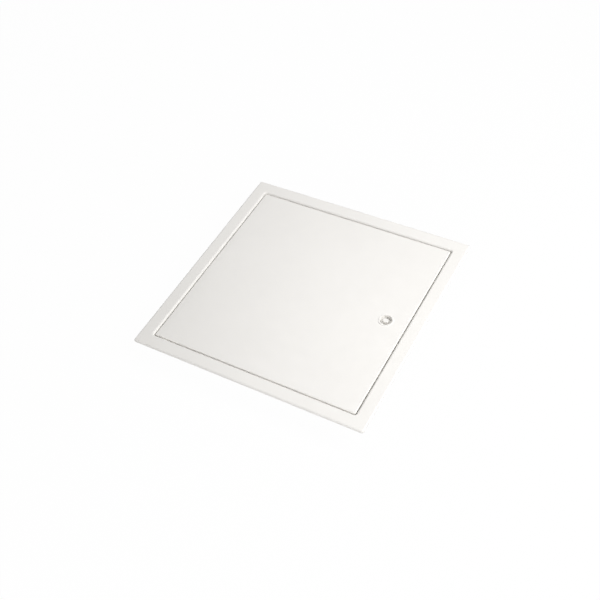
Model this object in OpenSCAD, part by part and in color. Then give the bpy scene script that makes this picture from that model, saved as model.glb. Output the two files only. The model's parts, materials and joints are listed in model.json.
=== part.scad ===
// A square metal access panel for a wall or ceiling: a pressed frame with a flange, a door set
// just inside it on concealed pivots, and a quarter-turn latch. The panel lies on its rear rim
// with its face up: +Z leaves the face, +X points to the latch side, and +Y to the spring pin.

/* [Panel] */
// Nominal size of the square panel, a little over the clear opening
nominal = 400; // [380:10:600]
// Width of the flange that shows round the door
flange_w = 26; // [22:1:34]
// Gap between the door and the frame on each side
door_gap = 1.5; // [1.2:0.1:2]
// How far the door's face lies below the face of the flange
door_set_back = 1.5; // [0:0.5:1.5]
// Depth from the face to the rear rim of the rails
depth = 36; // [36:1:60]

/* [Pressed sheet] */
// Thickness of the frame, rail and door sheet
sheet_t = 1.2; // [1:0.1:1.4]
// Depth of the turned-in edges of the frame and of the door
return_h = 14; // [13:0.5:15]
// Outside radius of the bend round the opening
opening_bend_r = 4; // [3:0.5:4.5]
// Outside radius of the bend at the flange's outer edge
lip_bend_r = 3; // [2:0.5:3.5]
// Height of the outer edge, which bears on the wall
lip_h = 4; // [4:0.5:6]
// Outside radius of the bend at the door's edge
door_bend_r = 2; // [1.6:0.2:2.4]
// Corner radius of the flange, seen from the front
flange_corner_r = 7; // [5:0.5:10]
// Corner radius of the opening, seen from the front
opening_corner_r = 3.5; // [3:0.5:6]
// Corner radius of the door, seen from the front
door_corner_r = 2.5; // [2.5:0.5:5]
// Width of the open seam at each folded corner
seam_w = 0.5; // [0.3:0.1:1]

/* [Mounting rails] */
// Width of the rail's turned-in rear lip
rail_lip = 10; // [8:1:14]
// Distance between the two fixing holes of a rail
fixing_pitch = 240; // [200:10:300]
// Diameter of the fixing holes
fixing_d = 6.5; // [4.5:0.5:7]
// Height of the fixing holes above the rear rim
fixing_z = 12; // [11:1:14]
// Distance from a rail's middle to each lanced anchor tab
anchor_pos = 60; // [50:5:70]
// Length and width of an anchor tab
anchor = [38, 11]; // [6:1:40]
// Width of the slit round an anchor tab
anchor_slit = 1.2; // [0.8:0.1:1.6]
// Length of the tab that laps a rail's end onto its neighbour
lap_len = 16; // [12:1:20]

/* [Pivots] */
// Distance from the door's edge to the pivot axis
pivot_in = 22; // [22:0.5:26]
// Depth of the pivot axis below the face
pivot_down = 8.5; // [8:0.25:8.5]
// Diameter of the pivot pins
pin_d = 5; // [4:0.5:5]
// Outside diameter of the upper bush
upper_bush_d = 8; // [7:0.5:8]
// Outside diameter of the lower bush
lower_bush_d = 7; // [6.5:0.5:7]
// Thickness of a bush's flange
bush_flange_t = 0.9; // [0.6:0.1:0.9]
// How far the spring pin draws back to free the door
pin_travel = 6; // [5.5:0.5:7]
// Distance from the door's edge to the guide bracket
guide_in = 13.5; // [12:0.5:20]
// Length of the guide bracket between its outer faces
guide_len = 34; // [30:1:40]
// Width of the guide bracket
guide_w = 16; // [13:1:20]
// Wire diameter of the pin's spring
spring_wire = 0.8; // [0.6:0.1:0.9]
// Mean diameter of the pin's spring
spring_d = 7; // [6.6:0.1:7.4]
// Turns of the pin's spring
spring_turns = 10; // [8:1:12]
// Reach of the pin's bent handle
handle_reach = 20; // [14:1:20]

/* [Door stiffeners] */
// Distance of each stiffener from the door's middle
stiffener_pos = 72; // [50:1:90]
// Width of a stiffener's crown
stiffener_crown = 26; // [20:1:40]
// Width of a stiffener's welding flange
stiffener_flange = 12; // [8:1:16]
// Height of a stiffener
stiffener_h = 12; // [8:0.5:12]
// Thickness of a stiffener's sheet
stiffener_t = 1; // [0.8:0.1:1.2]

/* [Latch] */
// Distance from the door's edge to the latch
latch_in = 38.5; // [36:0.5:42]
// Outside diameter of the rim on the door's face
rim_d = 27.4; // [26.8:0.1:30]
// Height of the rim above the door's face
rim_h = 0.8; // [0.6:0.1:1.2]
// Diameter of the keyway that the key goes into
well_d = 21.4; // [20:0.2:21.8]
// Depth of the floor of the keyway below the door's face
well_floor = 8; // [7:0.5:8]
// Outside diameter of the threaded barrel
barrel_d = 25; // [24.4:0.1:25.2]
// Width of the barrel across its two flats
barrel_flats = 23.4; // [23:0.1:23.8]
// Side of the square peg that the key turns
key_square = 8; // [7:0.5:9]
// Side of the square shank that carries the cam
shank_square = 7; // [6:0.5:7]
// Width of the nut across its flats
nut_flats = 31; // [30:0.5:34]
// Thickness of the nut
nut_t = 5; // [4:0.5:6]
// Length of the cam from the latch's axis to its tip
cam_len = 35; // [33:0.5:36]
// Width of the cam
cam_w = 16; // [14:0.5:17]
// Thickness of the cam
cam_t = 3; // [2:0.5:3]

/* [Strike and stops] */
// Thickness of the strike and the stop tabs
bracket_t = 1.5; // [1.2:0.1:1.5]
// Width of the strike
strike_w = 44; // [36:1:60]
// Reach of the strike into the opening
strike_reach = 16; // [14:0.5:17]
// Distance of each stop tab from the middle
stop_pos = 150; // [140:5:155]
// Width of a stop tab
stop_w = 18; // [14:1:24]
// Thickness of the rubber bumpers
bumper_t = 1.2; // [0.8:0.1:1.2]

/* [Clearances] */
// Radial clearance of a piece pressed or fixed into its hole
seat_gap = 0.02; // [0.01:0.01:0.05]
// Radial clearance of a turning or sliding fit
run_gap = 0.05; // [0.03:0.01:0.08]
// Radial room round the spring pin in the door's turned edge
pin_hole_gap = 0.15; // [0.1:0.05:0.3]
// Play of a moving piece along its axis
end_play = 0.1; // [0.05:0.05:0.15]
// Room between a moving piece and its stop at rest
rest_gap = 0.3; // [0.2:0.05:0.3]
// Room between the turned cam and the strike above it
cam_gap = 0.6; // [0.3:0.1:0.8]

/* [Hidden] */
$fn = 48;

// How far a cutter runs past what it cuts
cut = 1;

// Sizes across the panel
face_z = depth;
door_z = face_z - door_set_back;
opening = nominal - 2;
overall = opening + 2 * flange_w;
door = opening - 2 * door_gap;
body = opening + 4 * sheet_t;
bend_in_r = 0.8;
rail_bend_r = bend_in_r + sheet_t;
part_gap = 0.5;
rail_top_z = face_z - opening_bend_r - part_gap;
rail_lip_gap = 0.2;
lap_tab_z = 3;
lap_tab_h = face_z - return_h - part_gap - lap_tab_z;

// The pivot axis, which runs along Y
pivot_x = -door / 2 + pivot_in;
pivot_z = face_z - pivot_down;
guide_hi = door / 2 - guide_in;
guide_lo = guide_hi - guide_len;
ear_corner = 4;
clip_t = 0.7;
clip_d = 8;
clip_notch_r = 0.6;
clip_mouth = 3.4;
clip_groove_d = pin_d - 1;
clip_y = guide_hi - bracket_t - 2 * end_play - clip_t;
handle_bend_r = 6;
handle_gap = 8;
handle_y = guide_lo - handle_gap;
pin_chamfer = 1.5;
pin_tip_y = body / 2 - 0.9;
fixed_pin_reach = 7;
fixed_pin_y = -door / 2 + fixed_pin_reach;
rivet_d = 9;
rivet_h = 0.8;
bush_flange_w = 1.3;
bush_rim_w = 0.5;
bush_rim_h = 0.7;
lower_bush_len = 5.5;

// Heights of the latch, from the door's face down to the cam
latch_x = door / 2 - latch_in;
strike_top = door_z - return_h - rest_gap - bumper_t;
strike_bottom = strike_top - bracket_t;
cam_top = strike_bottom - cam_gap;
washer_t = 1;
washer_top = cam_top + washer_t;
barrel_end = washer_top + end_play;
well_z = door_z - well_floor;
well_chamfer = 0.4;
stop_ring_h = 2;
stop_ring_in_r = 7.6;
stop_tab_angle = 22;
stop_play = 1;
stop_tab_proud = 0.2;
sector_reach = 2 * barrel_d;
thread_pitch = 1.5;
thread_runout = 1.5;
thread_depth = 0.5;
spindle_disc_t = 2;
peg_drop = 0.4;
peg_top_d = 1.2 * key_square;
peg_base_d = 1.05 * well_d;
spindle_round_d = 10;
stop_washer_d = 19;
stop_tab_h = stop_ring_h + end_play;
cam_boss = 1.5;
cam_corner = 5;
screw_d = 5;
screw_hole_top = 2;
screw_head_h = 3.5;
screw_head_w = 8;
lock_washer_d = 10;
lock_washer_t = 1;

// The brackets on the right rail
bracket_bend_r = bracket_t + 1;
strike_drop = 15;
strike_corner = 6;
stop_drop = 14;
stop_leg = 12;
bumper_w = 7;
bumper_inset = 2;
bumper_x = body / 2 - sheet_t - bracket_bend_r - bumper_w / 2;

// A quarter of a ring, in the quadrant up and to the left of its centre
module quarter_band(r, t) {
    intersection() {
        difference() {
            circle(r);
            circle(r - t);
        }
        translate([-2 * r, 0]) square(2 * r);
    }
}

// A square outline with rounded corners
module rounded_square(size, r) {
    difference() {
        square(size, center = true);
        for (turn = [0:3]) rotate(90 * turn) {
            translate([size / 2 - r, size / 2 - r]) difference() {
                square(2 * r);
                circle(r);
            }
        }
    }
}

// The section of a sheet edge that bends down, with its outer face at x = 0 and its top at y = 0
module turned_edge(bend_r, height) {
    translate([bend_r, -bend_r]) quarter_band(bend_r, sheet_t);
    translate([0, -height]) square([sheet_t, height - bend_r]);
}

// Carries a section round a square with rounded corners, its x measured outwards from the edge
module around_square(size, corner_r) {
    run = size - 2 * corner_r;
    for (turn = [0:3]) rotate(90 * turn) {
        translate([size / 2, run / 2, 0]) rotate([90, 0, 0]) linear_extrude(run) children();
        translate([run / 2, run / 2, 0]) rotate_extrude(angle = 90) translate([corner_r, 0]) children();
    }
}

// Cutters for the open seams at the folded corners of an edge that turns down from a height
module corner_seams(size, corner_r, bend_r, top) {
    for (turn = [0:3]) rotate(90 * turn + 45) {
        translate([(size / 2 - corner_r) * sqrt(2), -seam_w / 2, top - return_h - cut])
            cube([corner_r + 2 * sheet_t, seam_w, return_h - bend_r - part_gap]);
    }
}

// A round hole or pin along Y, from y1 to y2, on the pivot axis
module on_pivot(d, y1, y2) {
    translate([pivot_x, y1, pivot_z]) rotate([-90, 0, 0]) cylinder(h = y2 - y1, d = d);
}

// A pin's tapered tip on the pivot axis, from its full diameter at y1 to its end at y2
module pivot_tip(y1, y2) {
    translate([pivot_x, min(y1, y2), pivot_z]) rotate([-90, 0, 0])
        cylinder(h = abs(y2 - y1), d1 = y1 < y2 ? pin_d : pin_d - 2, d2 = y1 < y2 ? pin_d - 2 : pin_d);
}

// The pressed frame: a flat ring, a lip at its outer edge and a return round the opening
module face_frame() color("white") difference() {
    translate([0, 0, face_z]) {
        translate([0, 0, -sheet_t]) linear_extrude(sheet_t) difference() {
            rounded_square(overall - 2 * lip_bend_r, flange_corner_r - lip_bend_r);
            rounded_square(opening + 2 * opening_bend_r, opening_corner_r + opening_bend_r);
        }
        around_square(overall, flange_corner_r) mirror([1, 0]) turned_edge(lip_bend_r, lip_h);
        around_square(opening, opening_corner_r) turned_edge(opening_bend_r, return_h);
    }
    corner_seams(opening, opening_corner_r, opening_bend_r, face_z);
    on_pivot(pin_d + 2 * seat_gap, -body / 2 - cut, -opening / 2 + cut);
    on_pivot(upper_bush_d + 2 * seat_gap, opening / 2 - cut, body / 2 + cut);
}

// The section of a rail, with its outer face at x = 0 and its rear rim at y = 0
module rail_section() {
    translate([0, rail_bend_r]) square([sheet_t, rail_top_z - rail_bend_r]);
    translate([rail_bend_r, rail_bend_r]) rotate(90) quarter_band(rail_bend_r, sheet_t);
    translate([rail_bend_r, 0]) square([rail_lip - rail_bend_r, sheet_t]);
}

// Three slits that leave a tab to bend out of the web as an anchor
module anchor_slits() {
    for (side = [-1, 1]) translate([0, 0, side * (anchor[1] + anchor_slit) / 2])
        cube([4 * sheet_t, anchor[0], anchor_slit], center = true);
    translate([0, anchor[0] / 2, 0])
        cube([4 * sheet_t, anchor_slit, anchor[1] + 2 * anchor_slit], center = true);
}

// A rail on the +X side, with its lip cut short at both ends to meet its neighbours
module rail(length, lip_length) {
    web_x = body / 2 - sheet_t / 2;
    difference() {
        translate([body / 2, length / 2, 0]) rotate([90, 0, 0]) linear_extrude(length)
            mirror([1, 0]) rail_section();
        for (side = [-1, 1]) {
            translate([body / 2 - rail_lip - cut, side * (lip_length / 2 + rail_lip) - rail_lip, -cut])
                cube([rail_lip + cut - rail_bend_r, 2 * rail_lip, sheet_t + 2 * cut]);
            translate([web_x, side * fixing_pitch / 2, fixing_z]) rotate([0, 90, 0])
                cylinder(h = 4 * sheet_t, d = fixing_d, center = true);
            translate([web_x, side * anchor_pos, fixing_z]) rotate(side > 0 ? 0 : 180) anchor_slits();
        }
    }
}

module side_rail() rail(body, body - 2 * rail_bend_r - 2 * rail_lip_gap);

// A rail with a tab at each end, which laps inside the side rail and is welded to it
module lapped_rail() {
    half = body / 2 - sheet_t - rail_bend_r;
    rail(2 * half, 2 * (body / 2 - rail_lip - rail_lip_gap));
    for (side = [0, 1]) mirror([0, side, 0]) translate([0, 0, lap_tab_z]) {
        linear_extrude(lap_tab_h) {
            translate([body / 2 - rail_bend_r, half]) rotate(-90) quarter_band(rail_bend_r, sheet_t);
            translate([body / 2 - lap_len, half + bend_in_r]) square([lap_len - rail_bend_r, sheet_t]);
        }
    }
}

module rail_right() color("gainsboro") side_rail();
module rail_left() color("gainsboro") mirror([1, 0, 0]) side_rail();

module rail_top() color("gainsboro") difference() {
    rotate(90) lapped_rail();
    on_pivot(upper_bush_d + 2 * seat_gap, opening / 2 - cut, body / 2 + cut);
}

module rail_bottom() color("gainsboro") difference() {
    rotate(-90) lapped_rail();
    on_pivot(pin_d + 2 * seat_gap, -body / 2 - cut, -opening / 2 + cut);
}

// An angle welded to the right rail, with a level leg that reaches into the opening
module angle_bracket(y, width, reach, drop) {
    translate([body / 2 - sheet_t, y + width / 2, strike_top]) rotate([90, 0, 0]) linear_extrude(width) {
        translate([-bracket_bend_r, -bracket_bend_r]) rotate(-90) quarter_band(bracket_bend_r, bracket_t);
        translate([-bracket_t, -drop]) square([bracket_t, drop - bracket_bend_r]);
        translate([-reach, -bracket_t]) square([reach - bracket_bend_r, bracket_t]);
    }
}

module strike_bracket() color("silver") difference() {
    angle_bracket(0, strike_w, strike_reach, strike_drop);
    for (side = [-1, 1]) translate([body / 2 - strike_reach - sheet_t, side * strike_w / 2, strike_top])
        rotate(45) cube([strike_corner, strike_corner, 4 * bracket_t], center = true);
}

module stop_tab_upper() color("silver") angle_bracket(stop_pos, stop_w, stop_leg, stop_drop);
module stop_tab_lower() color("silver") angle_bracket(-stop_pos, stop_w, stop_leg, stop_drop);

// A rubber pad on a stop tab, under the edge of the door
module bumper(y) {
    length = stop_w - 2 * bumper_inset;
    color("dimgray") translate([bumper_x, y, strike_top]) linear_extrude(bumper_t) difference() {
        square([bumper_w, length], center = true);
        for (x = [-1, 1], side = [-1, 1]) translate([x * bumper_w / 2, side * length / 2])
            rotate(45) square(bumper_w / 5, center = true);
    }
}

module bumper_upper() bumper(stop_pos);
module bumper_lower() bumper(-stop_pos);

// The fixed pin, riveted through the frame's lower return and the bottom rail
module lower_pivot_pin() color("silver") {
    on_pivot(pin_d, -body / 2, fixed_pin_y);
    pivot_tip(fixed_pin_y, fixed_pin_y + pin_chamfer);
    on_pivot(rivet_d, -body / 2 - rivet_h, -body / 2);
}

// The bush in the frame that the spring pin turns in
module upper_pivot_bush() color("ivory") difference() {
    union() {
        on_pivot(upper_bush_d, opening / 2, body / 2);
        on_pivot(upper_bush_d + 2 * bush_flange_w, opening / 2 - bush_flange_t, opening / 2);
        on_pivot(upper_bush_d + 2 * bush_rim_w, body / 2, body / 2 + bush_rim_h);
    }
    on_pivot(pin_d + 2 * run_gap, opening / 2 - 2 * cut, body / 2 + 2 * cut);
}

// The door: a shallow pan with its edges turned in all round
module door_panel() color("white") difference() {
    translate([0, 0, door_z]) {
        translate([0, 0, -sheet_t]) linear_extrude(sheet_t)
            rounded_square(door - 2 * door_bend_r, door_corner_r - door_bend_r);
        around_square(door, door_corner_r) mirror([1, 0]) turned_edge(door_bend_r, return_h);
    }
    corner_seams(door, door_corner_r, door_bend_r, door_z);
    translate([latch_x, 0, door_z - 2 * sheet_t]) linear_extrude(3 * sheet_t) intersection() {
        circle(d = barrel_d + 4 * run_gap);
        square([barrel_flats + 4 * run_gap, barrel_d + 2], center = true);
    }
    on_pivot(lower_bush_d + 2 * seat_gap, -door / 2 - sheet_t, -door / 2 + 2 * sheet_t);
    on_pivot(pin_d + 2 * pin_hole_gap, door / 2 - 2 * sheet_t, door / 2 + sheet_t);
}

// The bush in the door's lower edge that turns on the fixed pin
module lower_pivot_bush() color("ivory") difference() {
    union() {
        on_pivot(lower_bush_d, -door / 2, -door / 2 + lower_bush_len);
        on_pivot(lower_bush_d + 2 * bush_flange_w, -door / 2 - bush_flange_t, -door / 2);
        on_pivot(lower_bush_d + 2 * bush_rim_w, -door / 2 + sheet_t, -door / 2 + sheet_t + bush_rim_h);
    }
    on_pivot(pin_d + 2 * run_gap, -door / 2 - 2 * cut, -door / 2 + lower_bush_len + cut);
}

// Half of a hat section, with its welding flange at y = 0
module half_hat() {
    bend_r = stiffener_t + 1;
    web = stiffener_crown / 2;
    translate([web - stiffener_t + bend_r, -bend_r]) quarter_band(bend_r, stiffener_t);
    translate([web - stiffener_t, bend_r - stiffener_h])
        square([stiffener_t, stiffener_h - 2 * bend_r]);
    translate([web - bend_r, bend_r - stiffener_h]) rotate(180) quarter_band(bend_r, stiffener_t);
    translate([0, -stiffener_h]) square([web - bend_r, stiffener_t]);
    translate([web - stiffener_t + bend_r, -stiffener_t])
        square([stiffener_flange + stiffener_t - bend_r, stiffener_t]);
}

// A hat-section stiffener, spot-welded to the back of the door
module stiffener(x) color("gainsboro") {
    length = door - 2 * pivot_in - 2;
    translate([x, length / 2, door_z - sheet_t]) rotate([90, 0, 0]) linear_extrude(length) {
        half_hat();
        mirror([1, 0]) half_hat();
    }
}

module stiffener_hinge_side() stiffener(-stiffener_pos);
module stiffener_latch_side() stiffener(stiffener_pos);

// The bracket on the door's back that guides the spring pin through its two ears
module pin_guide_bracket() color("silver") difference() {
    middle = (guide_hi + guide_lo) / 2;
    translate([pivot_x - guide_w / 2, middle, door_z - sheet_t]) rotate([90, 0, 90])
        linear_extrude(guide_w) for (side = [0, 1]) mirror([side, 0]) {
            translate([guide_len / 2 - bracket_bend_r, -bracket_bend_r]) rotate(-90)
                quarter_band(bracket_bend_r, bracket_t);
            translate([guide_len / 2 - bracket_t, part_gap - return_h])
                square([bracket_t, return_h - part_gap - bracket_bend_r]);
            translate([0, -bracket_t]) square([guide_len / 2 - bracket_bend_r, bracket_t]);
        }
    on_pivot(pin_d + 2 * run_gap, guide_lo - cut, guide_hi + cut);
    for (side = [-1, 1]) translate([pivot_x + side * guide_w / 2, middle, door_z - return_h])
        rotate([0, 45, 0]) cube([ear_corner, guide_len + 2 * cut, ear_corner], center = true);
}

// How far a coil has risen after some turns: closed at both ends and open between
function coil_rise(turns, length) =
    let (closed = spring_wire * 1.05, open = (length - spring_wire - 2 * closed) / (spring_turns - 2))
    turns < 1 ? turns * closed :
    turns > spring_turns - 1 ? length - spring_wire - (spring_turns - turns) * closed :
    closed + (turns - 1) * open;

// The coil spring that holds the pin out, between the lower ear and the clip
module pin_spring() {
    sides = 8;
    steps = 14;
    rings = steps * spring_turns;
    length = clip_y - guide_lo - bracket_t - 2 * end_play;
    points = [for (i = [0:rings], k = [0:sides - 1])
        let (angle = 360 * i / steps, around = 360 * k / sides,
             r = spring_d / 2 + spring_wire / 2 * cos(around))
        [r * cos(angle), r * sin(angle),
         spring_wire / 2 * (1 + sin(around)) + coil_rise(i / steps, length)]];
    walls = [for (i = [0:rings - 1], k = [0:sides - 1])
        let (a = i * sides, next = (k + 1) % sides)
        [a + k, a + sides + k, a + sides + next, a + next]];
    first = [for (k = [0:sides - 1]) k];
    last = [for (k = [0:sides - 1]) rings * sides + sides - 1 - k];
    color("silver") translate([pivot_x, guide_lo + bracket_t + end_play, pivot_z]) rotate([-90, 0, 0])
        polyhedron(points, concat(walls, [first, last]));
}

// The pin that slides out of the door into the frame, with a bent handle to draw it back
module spring_pin() color("silver") difference() {
    union() {
        on_pivot(pin_d, handle_y, pin_tip_y);
        pivot_tip(pin_tip_y, pin_tip_y + pin_chamfer);
        translate([pivot_x, handle_y, pivot_z - handle_bend_r]) rotate([90, 0, -90])
            rotate_extrude(angle = 90) translate([handle_bend_r, 0]) circle(d = pin_d);
        translate([pivot_x, handle_y - handle_bend_r, pivot_z - handle_reach])
            cylinder(h = handle_reach - handle_bend_r, d = pin_d);
    }
    difference() {
        on_pivot(pin_d + 2, clip_y - end_play / 2, clip_y + clip_t + end_play / 2);
        on_pivot(clip_groove_d, clip_y - cut, clip_y + clip_t + cut);
    }
}

// The clip in the pin's groove, which the spring pushes against the upper ear
module spring_pin_clip() color("dimgray") {
    translate([pivot_x, clip_y, pivot_z]) rotate([-90, 0, 0]) linear_extrude(clip_t) difference() {
        circle(d = clip_d);
        circle(d = clip_groove_d + 2 * seat_gap);
        translate([-clip_mouth / 2, -clip_d]) square([clip_mouth, clip_d]);
        for (side = [-1, 1]) translate([side * pin_d / 2, 0]) circle(r = clip_notch_r);
    }
}

// A square bar on the latch's axis, from z1 up to z2
module latch_bar(side, z1, z2) {
    translate([latch_x, 0, (z1 + z2) / 2]) cube([side, side, z2 - z1], center = true);
}

// A round bar on the latch's axis, from z1 up to z2
module latch_round(d, z1, z2) {
    translate([latch_x, 0, z1]) cylinder(h = z2 - z1, d = d);
}

// The barrel with two flats, rings for its thread, and the ring that limits the cam's turn
module latch_barrel() {
    from = barrel_end + stop_ring_h + thread_runout;
    rings = floor((door_z - sheet_t - nut_t - from) / thread_pitch);
    intersection() {
        difference() {
            latch_round(barrel_d, barrel_end, door_z);
            for (i = [0:rings]) translate([latch_x, 0, from + i * thread_pitch]) rotate_extrude()
                translate([barrel_d / 2, 0]) rotate(45) square(thread_depth * sqrt(2), center = true);
        }
        translate([latch_x, 0, door_z])
            cube([barrel_flats, 2 * barrel_d, 2 * door_z], center = true);
    }
}

// A sector on the latch's axis, as an outline from one angle to another
module latch_sector(from, to, z, h) {
    steps = 4;
    rim = [for (i = [0:steps]) from + (to - from) * i / steps];
    translate([latch_x, 0, z]) linear_extrude(h)
        polygon([[0, 0], for (a = rim) sector_reach * [cos(a), sin(a)]]);
}

// The latch body: a rim on the face, a round keyway, and a barrel that the nut clamps
module latch_housing() color("white") difference() {
    union() {
        translate([latch_x, 0, door_z]) rotate_extrude() {
            square([rim_d / 2 - rim_h, rim_h]);
            intersection() {
                translate([rim_d / 2 - rim_h, 0]) circle(rim_h);
                square([rim_d, rim_h]);
            }
        }
        latch_barrel();
    }
    latch_round(well_d, well_z, door_z + 2 * rim_h);
    translate([latch_x, 0, door_z + rim_h - well_chamfer])
        cylinder(h = 2 * well_chamfer, d1 = well_d, d2 = well_d + 4 * well_chamfer);
    latch_round(spindle_round_d + 2 * run_gap, barrel_end - cut, door_z);
    latch_round(2 * stop_ring_in_r, barrel_end - cut, barrel_end + stop_ring_h);
    latch_sector(180 - stop_play - stop_tab_angle / 2, 270 + stop_play + stop_tab_angle / 2,
        barrel_end - cut, stop_ring_h + cut);
}

module latch_nut() color("silver") difference() {
    translate([latch_x, 0, door_z - sheet_t - nut_t]) intersection() {
        cylinder(h = nut_t, d = nut_flats / cos(30), $fn = 6);
        cylinder(h = nut_t, d1 = nut_flats, d2 = nut_flats + 2 * nut_t);
    }
    latch_round(barrel_d + 2 * run_gap, 0, door_z);
}

// The turning core: a square peg for the key, a round bearing and a square shank
module latch_spindle() color("silver") difference() {
    union() {
        latch_round(well_d - 6 * run_gap, well_z + run_gap, well_z + spindle_disc_t);
        intersection() {
            latch_bar(key_square, well_z + spindle_disc_t / 2, door_z - peg_drop);
            translate([latch_x, 0, well_z])
                cylinder(h = well_floor - peg_drop, d1 = peg_base_d, d2 = peg_top_d);
        }
        latch_round(spindle_round_d, barrel_end + stop_ring_h, well_z + spindle_disc_t / 2);
        latch_bar(shank_square, cam_top - cam_t + 2 * end_play, well_z);
    }
    latch_round(screw_d, cam_top - cam_t - cut, well_z - screw_hole_top);
}

// The washer whose turned-up tab meets the stop ring at each end of the quarter turn
module stop_washer() color("silver") difference() {
    union() {
        latch_round(stop_washer_d, cam_top, washer_top);
        intersection() {
            difference() {
                latch_round(stop_washer_d + 2 * stop_tab_proud, cam_top,
                    washer_top + stop_tab_h - 2 * end_play);
                latch_round(2 * (stop_ring_in_r + rest_gap), washer_top - end_play, face_z);
            }
            latch_sector(270 - stop_tab_angle / 2, 270 + stop_tab_angle / 2,
                cam_top, washer_t + stop_tab_h);
        }
    }
    latch_bar(shank_square + 2 * run_gap, cam_top - cut, washer_top + cut);
}

// The cam, which points along the door's edge at rest and behind the strike when turned
module latch_cam() color("silver") difference() {
    translate([latch_x, 0, cam_top - cam_t]) linear_extrude(cam_t) difference() {
        union() {
            circle(cam_w / 2 + cam_boss);
            translate([-cam_w / 2, 0]) square([cam_w, cam_len]);
        }
        for (side = [-1, 1]) translate([side * cam_w / 2, cam_len]) rotate(45)
            square(cam_corner, center = true);
    }
    latch_bar(shank_square + 2 * run_gap, cam_top - cam_t - cut, cam_top + cut);
}

// A split spring washer under the screw's head
module cam_lock_washer() color("dimgray") difference() {
    slit = 0.8;
    latch_round(lock_washer_d, cam_top - cam_t - lock_washer_t, cam_top - cam_t);
    latch_round(screw_d + 8 * run_gap, 0, face_z);
    translate([latch_x, 0, cam_top - cam_t - 2 * lock_washer_t]) rotate(20)
        translate([0, -slit / 2, 0]) cube([lock_washer_d, slit, 4 * lock_washer_t]);
}

// The screw that holds the cam on its square shank
module cam_screw() color("silver") {
    head_top = cam_top - cam_t - lock_washer_t;
    translate([latch_x, 0, head_top - screw_head_h]) intersection() {
        cylinder(h = screw_head_h, d = screw_head_w / cos(30), $fn = 6);
        cylinder(h = screw_head_h, d1 = screw_head_w, d2 = screw_head_w + 2 * screw_head_h);
    }
    latch_round(screw_d - 2 * seat_gap, head_top, well_z - screw_hole_top - cut);
}

face_frame();
rail_left();
rail_right();
rail_top();
rail_bottom();
strike_bracket();
stop_tab_upper();
stop_tab_lower();
bumper_upper();
bumper_lower();
lower_pivot_pin();
upper_pivot_bush();
door_panel();
stiffener_hinge_side();
stiffener_latch_side();
lower_pivot_bush();
pin_guide_bracket();
pin_spring();
latch_housing();
latch_nut();
spring_pin();
spring_pin_clip();
latch_spindle();
stop_washer();
latch_cam();
cam_lock_washer();
cam_screw();
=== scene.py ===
"""Looks of a square metal access panel: white coated sheet, plated latch, and a studio stage."""

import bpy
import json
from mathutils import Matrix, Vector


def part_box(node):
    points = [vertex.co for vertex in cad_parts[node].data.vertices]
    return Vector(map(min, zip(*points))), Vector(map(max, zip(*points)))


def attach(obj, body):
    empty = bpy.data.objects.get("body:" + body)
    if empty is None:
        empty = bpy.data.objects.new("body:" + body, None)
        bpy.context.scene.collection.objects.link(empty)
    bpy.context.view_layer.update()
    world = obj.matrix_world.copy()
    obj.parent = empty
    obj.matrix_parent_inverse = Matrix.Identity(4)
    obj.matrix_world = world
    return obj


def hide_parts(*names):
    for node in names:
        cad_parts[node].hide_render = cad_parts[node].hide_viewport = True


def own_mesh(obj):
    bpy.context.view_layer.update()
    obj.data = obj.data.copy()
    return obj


bl_info = {
    "name": "Metal access panel",
    "version": (1, 0, 0),
    "blender": (4, 5, 0),
    "location": "3D View > Sidebar > Access panel",
    "description": "Builds the fine sheet, spring, welds, finishes and stage of an access panel",
    "category": "Object",
}

import json
import math

import bmesh
import bpy
import numpy as np
from bpy.props import FloatProperty, FloatVectorProperty, IntProperty, PointerProperty
from bpy.types import Operator, Panel, PropertyGroup
from mathutils import Quaternion, Vector

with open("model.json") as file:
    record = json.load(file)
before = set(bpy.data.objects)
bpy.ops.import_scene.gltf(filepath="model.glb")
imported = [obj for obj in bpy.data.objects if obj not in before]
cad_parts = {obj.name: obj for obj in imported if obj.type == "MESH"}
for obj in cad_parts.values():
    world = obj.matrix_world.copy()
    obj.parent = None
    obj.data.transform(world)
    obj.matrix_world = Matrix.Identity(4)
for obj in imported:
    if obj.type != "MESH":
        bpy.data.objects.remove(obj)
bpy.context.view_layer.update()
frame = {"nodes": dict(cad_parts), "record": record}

# Width of the camera's sensor in millimetres
SENSOR = 36.0
WHITE = (1.0, 1.0, 1.0, 1.0)

# From the end of a bend to the first row of points on the wall, and on the flat
WALL_START = 0.0002
FLAT_START = 0.0004
# From the end of a bend to the top of the open seam in the corner
SEAM_START = 0.0005
# Depths below the face of the rows of points beside a pivot's hole
HOLE_ROWS = (0.0062, 0.0085, 0.0108, 0.0132)
# How many points each of these rows has beside the hole
HOLE_PLACES = 9
# Width of the bevel on a cut edge, and its height on the rim of a turned wall
BEVEL = 0.00015
RIM_BEVEL = 0.0002


def length(name, description, default):
    """A size property in metres."""
    return FloatProperty(name=name, description=description, default=default, unit="LENGTH",
                         precision=5)


def number(name, description, default):
    """How many like things there are."""
    return IntProperty(name=name, description=description, default=default, min=2, max=100)


def colour(name, description, default):
    """A linear colour property."""
    return FloatVectorProperty(name=name, description=description, default=default,
                               subtype="COLOR", size=3, min=0.0, max=1.0)


def share(name, description, default):
    """A property between 0 and 1."""
    return FloatProperty(name=name, description=description, default=default, min=0.0, max=1.0,
                         subtype="FACTOR")


def place(name, description, default):
    """A point in metres."""
    return FloatVectorProperty(name=name, description=description, default=default,
                               subtype="TRANSLATION", size=3)


def watts(name, description, default):
    """The power of a lamp."""
    return FloatProperty(name=name, description=description, default=default, unit="POWER")


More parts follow.
